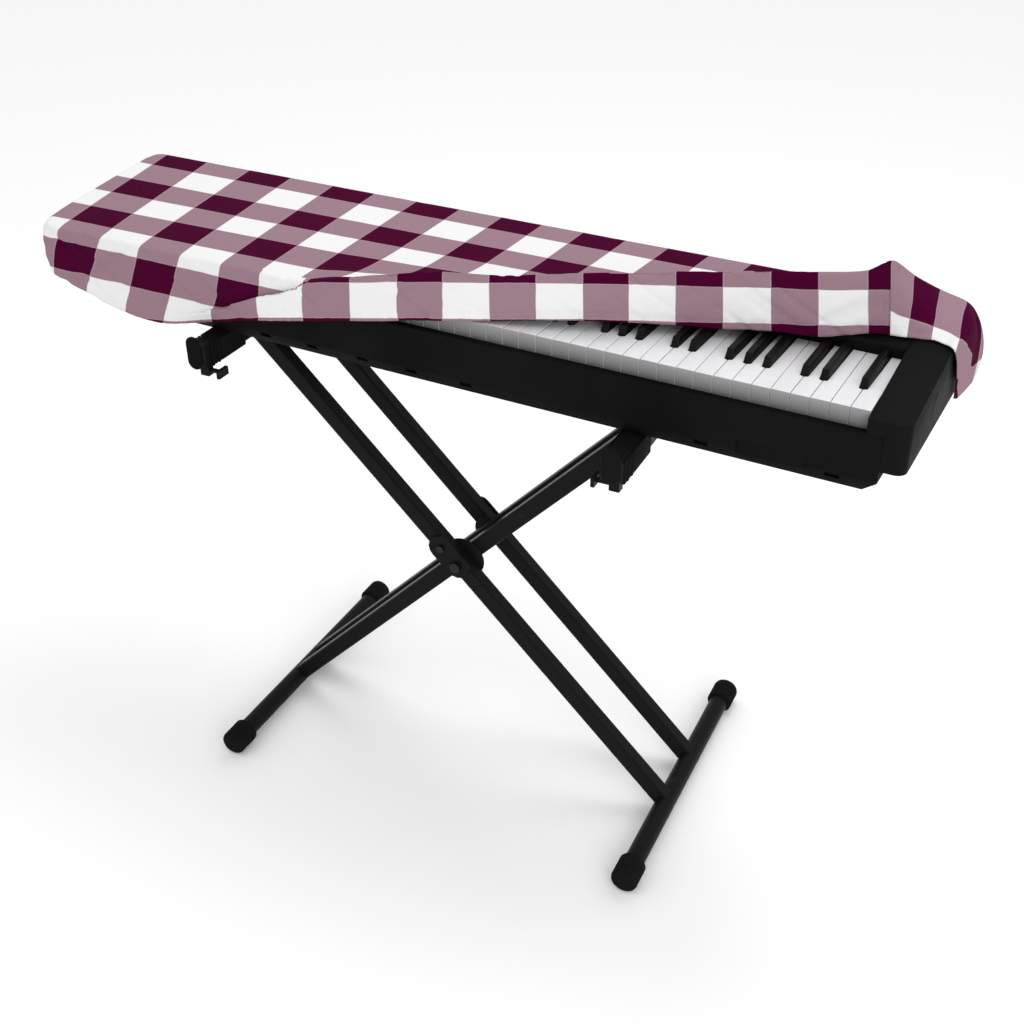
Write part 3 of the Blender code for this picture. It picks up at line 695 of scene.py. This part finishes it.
def sheet_from(name, grid, charts, flip, material, node):
    """A sheet of cloth through a grid of points, with its checks as a chart and its real thickness."""
    shape = bmesh.new()
    chart = shape.loops.layers.uv.new("checks")
    corners = [[shape.verts.new(body_place(point)) for point in line] for line in grid]
    for i in range(len(grid) - 1):
        for j in range(len(grid[0]) - 1):
            order = [(i, j), (i + 1, j), (i + 1, j + 1), (i, j + 1)]
            if flip:
                order.reverse()
            face = shape.faces.new([corners[a][b] for a, b in order])
            for loop, (a, b) in zip(face.loops, order):
                loop[chart].uv = charts(a, b, j)
    piece = add_piece(name, shape, material, node, flat=True)
    piece.data.shade_smooth()
    thick = piece.modifiers.new("cloth thickness", "SOLIDIFY")
    thick.thickness = CLOTH * MM
    thick.offset = -1.0
    return piece


def main_stations():
    """Check columns of the sections, close enough together for the hem's gathers."""
    found = []
    column = FRONT[0][0]
    while column < LAST - 0.02:
        found.append(column)
        column += STATION / (COLUMN_WIDE if column > 0.0 else CORNER_COLUMN_WIDE)
    return found + [LAST]


def top_checks(points):
    """Checks along one section of the top, walked from the rear edge, so that no slope stretches them."""
    y = points[-1].y
    found = []
    for point, behind in zip(points[::-1], [points[-1]] + points[:0:-1]):
        step = behind - point
        y -= math.hypot(step.y, step.z - TOP_SLOPE * step.y)
        found.append(top_check(point.x, y))
    return found[::-1]


def build_cover(material):
    """The long panel. Its checks part at the raised edge, where the flap folds over the taut top."""
    columns = main_stations()
    grid, fronts, tops = [], [], []
    for column in columns:
        points, rows = section(column)
        points = relax(points, RELAX_ROUNDS)
        grid.append(points)
        fronts.append(rows)
        rolled = points[ROWS_FRONT:ROWS_FRONT + ROWS_ROLLED + 1]
        for ahead, behind in zip(rolled, rolled[1:]):
            rows.append(rows[-1] - (behind - ahead).length / CHECK)
        corner = points[ROWS_FRONT + ROWS_TOP]
        top = top_checks(points[ROWS_FRONT:ROWS_FRONT + ROWS_TOP + 1])
        across, row = top[-1]
        top += [(across, row - (point - corner).length / CHECK)
                for point in points[ROWS_FRONT + ROWS_TOP + 1:]]
        tops.append(top)
    plain = [list(line) for line in grid]
    normals = grid_normals(grid, True)
    for i, line in enumerate(grid):
        calm = ease(0.0, 4.0, i) * ease(0.0, 4.0, len(grid) - 1 - i)
        run = 0.0
        for j, point in enumerate(plain[i]):
            if j:
                run += (point - plain[i][j - 1]).length
            above_hem = (len(line) - 1 - j) * REAR_CELL
            on_top = ease(0.0, 8.0, j - ROWS_FRONT)
            if j > ROWS_FRONT + ROWS_TOP:
                amount = min(creases(point, above_hem, REAR_SLACK), REAR_MOST)
            else:
                amount = creases(point, run, 1.0 - 0.8 * on_top) * (1.0 - 0.55 * on_top)
            line[j] = point + normals[i][j] * amount * calm

    def chart(i, j, face_row):
        if face_row >= ROWS_FRONT + ROWS_ROLLED:
            return tops[i][j - ROWS_FRONT]
        return columns[i], fronts[i][j]

    main = sheet_from("cloth_cover_main", grid, chart, True, material, "cover_main")
    return main, plain, tops[0]


def inside(line, normals):
    """A panel's edge moved under the edge of the cloth that it is sewn to."""
    return [corner - normal * SEAM_INSET for corner, normal in zip(line, normals)]


def end_grid(edge, hem, bulge):
    """A grid down from a section's top edge to a hem line, joined to its front and rear walls."""
    top = edge[ROWS_FRONT:ROWS_FRONT + ROWS_TOP + 1]
    shares = steps(ROWS_END)
    front = along(edge[:ROWS_FRONT + 1][::-1], shares)
    rear = along(edge[ROWS_FRONT + ROWS_TOP:], shares)
    grid = []
    for across, share in enumerate(steps(ROWS_TOP)):
        line = []
        for down, fall in enumerate(shares):
            point = top[across].lerp(hem[across], fall) + bulge(share, fall)
            edges = (front[down] - (top[0].lerp(hem[0], fall) + bulge(0.0, fall))) * (1 - share)
            edges += (rear[down] - (top[-1].lerp(hem[-1], fall) + bulge(1.0, fall))) * share
            line.append(point + edges)
        grid.append(line)
    return grid


def right_bulge(share, fall):
    amount = blend(RIGHT_END, share * RIGHT_END[-1][0], 7)
    outward = Vector((1.0, -0.35 + 0.95 * share, 0.45 * (1 - share)))
    return outward * amount * math.sin(math.pi * fall)


def left_bulge(share, fall):
    return Vector((-math.sin(math.pi * fall) * math.sin(math.pi * share), 0.0, 0.0))


def dress_end(grid, flip, most):
    """Add the end panel's slack and gathers, none at its seams."""
    normals = grid_normals(grid, flip)
    for i, line in enumerate(grid):
        for j, point in enumerate(list(line)):
            side = min(i, len(grid) - 1 - i)
            height = (len(line) - 1 - j) * END_CELL
            calm = ease(0.0, 3.0, side) * ease(0.0, 3.0, j)
            line[j] = point + normals[i][j] * creases(point, height, 1.0) * calm * most


def build_ends(material, plain, left_rows):
    """The two end panels, sewn under the long panel's first and last sections."""
    falls = steps(ROWS_END)
    normals = grid_normals(plain, True)
    left = inside(plain[0], normals[0])
    right = inside(plain[-1], normals[-1])
    hem = [left[0].lerp(left[-1], share) for share in steps(ROWS_TOP)]
    grid = end_grid(left, hem, left_bulge)
    dress_end(grid, True, 0.3)
    left_deep = [(line[-1] - line[0]).length for line in grid]

    def left_chart(i, j, _):
        across, row = left_rows[i]
        return across - falls[j] * left_deep[i] / CHECK, row

    left_end = sheet_from("cloth_end_left", grid, left_chart, True, material, "cover_end_left")

    last = RIGHT_END[-1][0]
    columns = [share * last for share in steps(ROWS_TOP)]
    hem = [Vector([blend(RIGHT_END, column, field) for field in (4, 5, 6)]) for column in columns]
    grid = end_grid(right, hem, right_bulge)
    dress_end(grid, False, 1.0)
    deep = [(line[-1] - line[0]).length for line in grid]

    def right_chart(i, j, _):
        line, lean, size = (straight(END_CHECKS, columns[i], field) for field in (1, 2, 3))
        away = (falls[j] - line) * deep[i]
        if away < 0:
            size = max(END_UPPER_CHECK, line * deep[i] * 1.03)
        return columns[i] + 1.0 + lean * math.sin(math.pi * falls[j]), END_ROW + away / size

    right_end = sheet_from("cloth_end_right", grid, right_chart, False, material, "cover_end_right")
    return left_end, right_end


# The keyboard


def box(shape, low, high, place=body_place):
    """A box added to a shape, between two corners in millimetres."""
    made = bmesh.ops.create_cube(shape, size=1.0)["verts"]
    low, high = Vector(low), Vector(high)
    for corner in made:
        corner.co = place(Vector(a * b for a, b in zip(corner.co, high - low)) + (low + high) / 2)
    return made


def prism(shape, outline, low, high, place=body_place):
    """A flat outline in plan, raised between two heights; gives back its top face."""
    below = [shape.verts.new(place((x, y, low))) for x, y in outline]
    above = [shape.verts.new(place((x, y, high))) for x, y in outline]
    shape.faces.new(below[::-1])
    top = shape.faces.new(above)
    for corners in zip(below, below[1:] + below[:1], above[1:] + above[:1], above):
        shape.faces.new(corners)
    return top


def black_seams():
    """Seams between white keys that carry a black key."""
    return [seam for seam in range(1, WHITE_KEYS) if seam % 7 not in (2, 5)]


def build_white_keys(material):
    """Each white key on its own, cut away for its black neighbours, with a rolled front edge."""
    shape = bmesh.new()
    seams = set(black_seams())
    cut = BLACK_WIDTH / 2 + WHITE_CUT
    step_y = BLACK_FRONT - WHITE_STEP
    for key in range(WHITE_KEYS):
        right = -key * KEY_PITCH - WHITE_SLOT / 2
        left = right - KEY_PITCH + WHITE_SLOT
        back_right = -key * KEY_PITCH - cut if key in seams else right
        back_left = -(key + 1) * KEY_PITCH + cut if key + 1 in seams else left
        outline = [(left, 0.0), (right, 0.0), (right, step_y)]
        if back_right != right:
            outline.append((back_right, step_y))
        outline += [(back_right, WHITE_DEPTH), (back_left, WHITE_DEPTH)]
        if back_left != left:
            outline.append((back_left, step_y))
        outline.append((left, step_y))
        dip = WHITE_DIP * (0.5 + 0.5 * math.sin(key * 2.7))
        top = prism(shape, outline, -WHITE_HEIGHT, -dip)
        bmesh.ops.bevel(shape, geom=list(top.edges), offset=WHITE_EDGE * MM, segments=3, affect="EDGES",
                        profile=0.6, clamp_overlap=True)
    add_piece("keys_white", shape, material, "white_keys")


def build_black_keys(material):
    """Each black key with sloping sides, a slanted nose and softened edges."""
    shape = bmesh.new()
    for seam in black_seams():
        middle = -seam * KEY_PITCH
        wide, narrow = BLACK_WIDTH / 2, BLACK_WIDTH / 2 - BLACK_TAPER
        nose_low, nose_high = BLACK_FRONT, BLACK_FRONT + BLACK_NOSE
        floor, roof = BLACK_ROOT, BLACK_HEIGHT
        points = [(-wide, nose_low, floor), (wide, nose_low, floor), (wide, WHITE_DEPTH, floor),
                  (-wide, WHITE_DEPTH, floor), (-narrow, nose_high, roof), (narrow, nose_high, roof),
                  (narrow, WHITE_DEPTH, roof), (-narrow, WHITE_DEPTH, roof)]
        corners = [shape.verts.new(body_place((middle + x, y, z))) for x, y, z in points]
        loops = [(3, 2, 1, 0), (4, 5, 6, 7), (0, 1, 5, 4), (1, 2, 6, 5), (2, 3, 7, 6), (3, 0, 4, 7)]
        faces = [shape.faces.new([corners[i] for i in loop]) for loop in loops]
        edges = list(set(faces[1].edges) | set(faces[2].edges))
        bmesh.ops.bevel(shape, geom=edges, offset=1.0 * MM, segments=3, affect="EDGES",
                        profile=0.5, clamp_overlap=True)
    add_piece("keys_black", shape, material, "black_keys")


def carve(shape, cutter):
    """Cut one shape out of another."""
    things = []
    for label, part in (("carved", shape), ("cutter", cutter)):
        mesh = bpy.data.meshes.new(label)
        part.to_mesh(mesh)
        part.free()
        thing = bpy.data.objects.new(label, mesh)
        bpy.context.scene.collection.objects.link(thing)
        things.append(thing)
    cut = things[0].modifiers.new("cut", "BOOLEAN")
    cut.operation = "DIFFERENCE"
    cut.solver = "EXACT"
    cut.object = things[1]
    result = bmesh.new()
    result.from_object(things[0], bpy.context.evaluated_depsgraph_get())
    for thing in things:
        bpy.data.objects.remove(thing, do_unlink=True)
    return result


def slice_off(shape, point, normal):
    """Cut a shape at a plane and drop what lies on the normal's side."""
    cut = bmesh.ops.bisect_plane(shape, geom=shape.verts[:] + shape.edges[:] + shape.faces[:],
                                 plane_co=body_place(point), plane_no=Vector(normal), clear_outer=True)
    edges = [part for part in cut["geom_cut"] if isinstance(part, bmesh.types.BMEdge)]
    bmesh.ops.holes_fill(shape, edges=edges)


def soften_sharp(shape, offset, segments=3, least=25.0):
    edges = [edge for edge in shape.edges if edge.calc_face_angle(0.0) > math.radians(least)]
    bmesh.ops.bevel(shape, geom=edges, offset=offset * MM, segments=segments, affect="EDGES",
                    profile=0.5, clamp_overlap=True)


def build_tray(material):
    """The lower tray, with the slots along its chamfer and the recess below the right keys."""
    left, right = CASE_LEFT + TRAY_LEFT_INSET, CASE_RIGHT - TRAY_RIGHT_INSET
    rise, inward = CHAMFER_RISE, CHAMFER_INWARD
    shape = bmesh.new()
    box(shape, (left, CASE_FRONT, CASE_BOTTOM), (right, CASE_REAR, TRAY_TOP))
    slice_off(shape, (0.0, CASE_FRONT, CASE_BOTTOM + rise), (0.0, -rise, -inward))
    slice_off(shape, (0.0, CASE_REAR, CASE_BOTTOM + rise), (0.0, rise, -inward))
    slice_off(shape, (right, 0.0, CASE_BOTTOM + rise), (rise, 0.0, -rise))
    slice_off(shape, (left, 0.0, CASE_BOTTOM + rise), (-rise, 0.0, -rise))
    soften_sharp(shape, 1.2, 2)
    cutter = bmesh.new()
    outside = CASE_FRONT - CUT_CLEAR
    for middle in TRAY_SLOTS:
        box(cutter, (middle - SLOT_REACH, outside, SLOT_LOW),
            (middle + SLOT_REACH, CASE_FRONT + SLOT_REACH, SLOT_HIGH))
    box(cutter, (RECESS_LEFT, outside, RECESS_LOW), (RECESS_RIGHT, CASE_FRONT + RECESS_DEEP, RECESS_HIGH))
    add_piece("tray", carve(shape, cutter), material, "case_tray")


def build_end_blocks(material):
    """The two cheeks of the case, round in plan at the front and rounded off at the back."""
    keys_left = -WHITE_KEYS * KEY_PITCH
    corners = [(CASE_FRONT + FRONT_CORNER, -90.0, FRONT_CORNER), (CASE_REAR - REAR_CORNER, 0.0, REAR_CORNER)]
    round_z = CHEEK_LEVEL + CHEEK_SLOPE * CASE_REAR - CHEEK_ROUND - 2.0
    round_centre = Vector((0.0, CASE_REAR - CHEEK_ROUND, round_z))
    notch_left = CASE_LEFT + TRAY_LEFT_INSET - GAP
    notch_right = CASE_RIGHT - TRAY_RIGHT_INSET + GAP
    for hand, side, bottom in CHEEKS:
        outer, inner = (CASE_RIGHT, GAP) if side > 0 else (CASE_LEFT, keys_left - GAP)
        outline = [(inner, CASE_REAR), (inner, CASE_FRONT)]
        for centre_y, start, radius in corners:
            for step in range(7):
                angle = math.radians(start + 15.0 * step)
                outline.append((outer - side * radius * (1 - math.cos(angle)),
                                centre_y + radius * math.sin(angle)))
        if side < 0:
            outline.reverse()
        shape = bmesh.new()
        prism(shape, outline, bottom, CHEEK_TALL)
        slice_off(shape, (0.0, 0.0, CHEEK_LEVEL), (0.0, -CHEEK_SLOPE, 1.0))
        for step in range(1, 7):
            angle = math.radians(7.0 + 13.0 * step)
            normal = Vector((0.0, math.sin(angle), math.cos(angle)))
            slice_off(shape, round_centre + normal * CHEEK_ROUND, normal)
        soften_sharp(shape, 3.2, 3)
        notch = bmesh.new()
        box(notch, (notch_left, CASE_FRONT - CUT_CLEAR, NOTCH_LOW),
            (notch_right, CASE_REAR + CUT_CLEAR, TRAY_TOP + GAP))
        add_piece("cheek_" + hand, carve(shape, notch), material, "end_block_" + hand)


# The stand


def stand_place(point):
    """A point on the stand, which is turned a little, from millimetres to metres."""
    turn = math.radians(STAND_TURN)
    x, y, z = point
    return Vector((x * math.cos(turn) - y * math.sin(turn) + STAND_PLACE.x,
                   x * math.sin(turn) + y * math.cos(turn) + STAND_PLACE.y, z + STAND_PLACE.z)) * MM


def lathe(shape, profile, centre, axis, sides=40):
    """A turned form: a profile of radius and distance along an axis, closed at both ends."""
    axis = Vector(axis).normalized()
    side = axis.orthogonal().normalized()
    across = axis.cross(side)
    rings = []
    for radius, along_axis in profile:
        middle = Vector(centre) + axis * along_axis
        ring = []
        for step in range(sides):
            angle = math.tau * step / sides
            point = middle + (side * math.cos(angle) + across * math.sin(angle)) * radius
            ring.append(shape.verts.new(stand_place(point)))
        rings.append(ring)
    for one, two in zip(rings, rings[1:]):
        for corners in zip(one, one[1:] + one[:1], two[1:] + two[:1], two):
            shape.faces.new(corners)
    shape.faces.new(rings[0][::-1])
    shape.faces.new(rings[-1])


def build_foot_caps(material):
    """Rubber feet with rolled ends and two grip grooves."""
    profile = [(8.0, CAP_NOSE), (14.0, 5.9), (17.6, 5.0), (19.6, 3.2), (CAP_RADIUS, 0.5)]
    for start in CAP_GROOVES:
        profile += [(CAP_RADIUS, start), (CAP_RADIUS - CAP_GROOVE, start - 1.2),
                    (CAP_RADIUS - CAP_GROOVE, start - 2.8), (CAP_RADIUS, start - 4.0)]
    mouth = CAP_NOSE - CAP_LONG
    profile += [(CAP_RADIUS, mouth + 3.0), (19.2, mouth + 0.8), (17.5, mouth), (15.3, mouth)]
    for side, hand in ((-1, "left"), (1, "right")):
        for end, where in ((-1, "front"), (1, "rear")):
            shape = bmesh.new()
            lathe(shape, profile, (side * FOOT_X, end * FOOT_Y, FOOT_Z), (0.0, end, 0.0))
            add_piece("foot_cap_" + hand + "_" + where + "_turned", shape, material,
                      "foot_cap_" + hand + "_" + where)


def rounded_box(shape, low, high, radius, segments=3):
    """A box with rounded edges on the stand, between two corners in the stand's millimetres."""
    made = box(shape, low, high, stand_place)
    edges = list({edge for corner in made for edge in corner.link_edges})
    bmesh.ops.bevel(shape, geom=edges, offset=radius * MM, segments=segments, affect="EDGES",
                    profile=0.5, clamp_overlap=True)


def build_sleeves(material):
    """Ribbed rubber sleeves round the front of each arm, open above for the keyboard."""
    for hand, x, front, _ in ARMS:
        shape = bmesh.new()
        for start, end, grow in SLEEVE_RINGS:
            low = (x - ARM_WIDE / 2 - grow, front + start, ARM_LOW - grow)
            high = (x + ARM_WIDE / 2 + grow, front + end, ARM_LOW + ARM_HIGH - SLEEVE_DROP)
            rounded_box(shape, low, high, min(2.4, grow * 0.8))
        room = bmesh.new()
        rounded_box(room, (x - ARM_WIDE / 2 - GAP, front, ARM_LOW - GAP),
                    (x + ARM_WIDE / 2 + GAP, front + SLEEVE_LONG, ARM_LOW + ARM_HIGH + CUT_CLEAR), 4.0, 2)
        add_piece("arm_sleeve_" + hand, carve(shape, room), material, None)


def build_lock_discs(material):
    """Turned discs between the legs of each X."""
    for where, depth, thick, radius in LOCK_DISCS:
        shape = bmesh.new()
        half = thick / 2
        profile = [(DISC_HUB, -half), (radius - DISC_EDGE_IN, -half), (radius, -half + DISC_EDGE_DEEP),
                   (radius, half - DISC_EDGE_DEEP), (radius - DISC_EDGE_IN, half), (DISC_HUB, half)]
        lathe(shape, profile, (PIVOT_X, depth, PIVOT_Z), (0.0, 1.0, 0.0), 72)
        add_piece("lock_disc_" + where + "_turned", shape, material, "lock_disc_" + where)


def build_arm_plates(material):
    """Upright rubber plates with rolled rims, on both ends of each arm."""
    for hand, x, front, lift in ARMS:
        for where, y in (("front", front - GAP - PLATE_THICK), ("rear", ARM_REAR + GAP)):
            shape = bmesh.new()
            middle = ARM_LOW + ARM_HIGH / 2 + lift
            reach = PLATE_HIGH / 2 - PLATE_WIDE / 2
            outline = []
            for centre, start in ((reach, 0.0), (-reach, math.pi)):
                for step in range(PLATE_STEPS + 1):
                    angle = start + math.pi * step / PLATE_STEPS
                    outline.append((x + PLATE_WIDE / 2 * math.cos(angle),
                                    middle + centre + PLATE_WIDE / 2 * math.sin(angle)))
            prism(shape, outline, y, y + PLATE_THICK, lambda at: stand_place((at[0], at[2], at[1])))
            bmesh.ops.recalc_face_normals(shape, faces=shape.faces)
            soften_sharp(shape, PLATE_EDGE, 3, 40.0)
            name = "arm_plate_" + hand + "_" + where
            add_piece(name + "_rolled", shape, material, name)


# Setting


def build_camera():
    turn, tilt, roll = (math.radians(value) for value in (CAMERA_TURN, CAMERA_TILT, CAMERA_ROLL))
    forward = Vector((math.sin(turn) * math.cos(tilt), math.cos(turn) * math.cos(tilt), -math.sin(tilt)))
    right = Vector((math.cos(turn), -math.sin(turn), 0.0))
    up = right.cross(forward)
    across = right * math.cos(roll) + up * math.sin(roll)
    upright = up * math.cos(roll) - right * math.sin(roll)
    camera = bpy.data.objects.new("camera", bpy.data.cameras.new("camera"))
    bpy.context.scene.collection.objects.link(camera)
    camera.matrix_world = Matrix.Translation(Vector(CAMERA_PLACE) * MM) @ Matrix(
        [(a, b, -c) for a, b, c in zip(across, upright, forward)]).to_4x4()
    camera.data.sensor_width = 36.0
    camera.data.lens = CAMERA_FOCAL / FRAME_PIXELS * camera.data.sensor_width
    camera.data.clip_end = 100.0
    bpy.context.scene.camera = camera


def area_light(name, place, target, size, power):
    data = bpy.data.lights.new(name, "AREA")
    data.shape = "RECTANGLE"
    data.size, data.size_y = size
    data.energy = power
    light = bpy.data.objects.new(name, data)
    bpy.context.scene.collection.objects.link(light)
    light.location = place
    light.rotation_euler = (Vector(target) - Vector(place)).to_track_quat("-Z", "Y").to_euler()


def build_setting():
    shape = bmesh.new()
    bmesh.ops.create_grid(shape, x_segments=1, y_segments=1, size=9.0)
    mesh = bpy.data.meshes.new("floor")
    shape.to_mesh(mesh)
    shape.free()
    make = Nodes("pale_floor")
    mesh.materials.append(make.finish((0.99, 0.99, 0.99), 0.8, Specular_IOR_Level=0.1))
    floor = bpy.data.objects.new("floor", mesh)
    bpy.context.scene.collection.objects.link(floor)
    world = bpy.data.worlds.new("soft_room")
    world.use_nodes = True
    sky = world.node_tree.nodes["Background"].inputs
    sky["Color"].default_value = (1.0, 1.0, 1.0, 1.0)
    sky["Strength"].default_value = 0.93
    bpy.context.scene.world = world
    bpy.context.scene.view_settings.view_transform = "Standard"
    area_light("light_top", (0.3, 0.9, 3.3), (0.0, 0.0, 0.8), (1.8, 1.2), 22.0)
    area_light("light_right", (2.1, -1.9, 1.5), (0.4, 0.0, 0.8), (1.2, 1.2), 17.0)


def main():
    cloth = cloth_material()
    shell = plastic_material("black_shell", (0.0058, 0.0058, 0.0064), (0.0082, 0.0082, 0.0090), 0.5)
    base = plastic_material("grey_tray", (0.0050, 0.0050, 0.0055), (0.0078, 0.0078, 0.0085), 0.55)
    rubber = plastic_material("cap_rubber_matt", (0.006, 0.006, 0.006), (0.010, 0.010, 0.010), 0.68,
                              grain=700.0, strength=0.4)
    steel = steel_material("black_powder_coat", (0.008, 0.008, 0.0086), 0.36)
    bright = metal_material("plated_bolts", (0.03, 0.03, 0.031), 0.38)
    # The white keys' last colour is the painted shade of their fronts.
    ivory = key_material("white_key_tops", (0.70, 0.70, 0.72), (0.75, 0.75, 0.765), 0.22, 0.25,
                         (0.26, 0.26, 0.265))
    ebony = key_material("black_key_tops", (0.003, 0.003, 0.003), (0.006, 0.006, 0.006), 0.3, 0.03)
    finishes = {"woven_cloth": cloth, "case_plastic": shell, "tray_plastic": base, "cap_rubber": rubber,
                "stand_steel": steel, "bolt_steel": bright, "key_white": ivory, "key_black": ebony}
    for node in NODES.values():
        for place in node.material_slots:
            place.material = finishes[place.material.name.split(".")[0]]

    main_panel, plain, left_rows = build_cover(cloth)
    left_end, right_end = build_ends(cloth, plain, left_rows)
    build_white_keys(ivory)
    build_black_keys(ebony)
    build_tray(base)
    build_end_blocks(shell)
    build_foot_caps(rubber)
    build_sleeves(rubber)
    build_lock_discs(steel)
    build_arm_plates(rubber)
    build_camera()
    build_setting()


main()
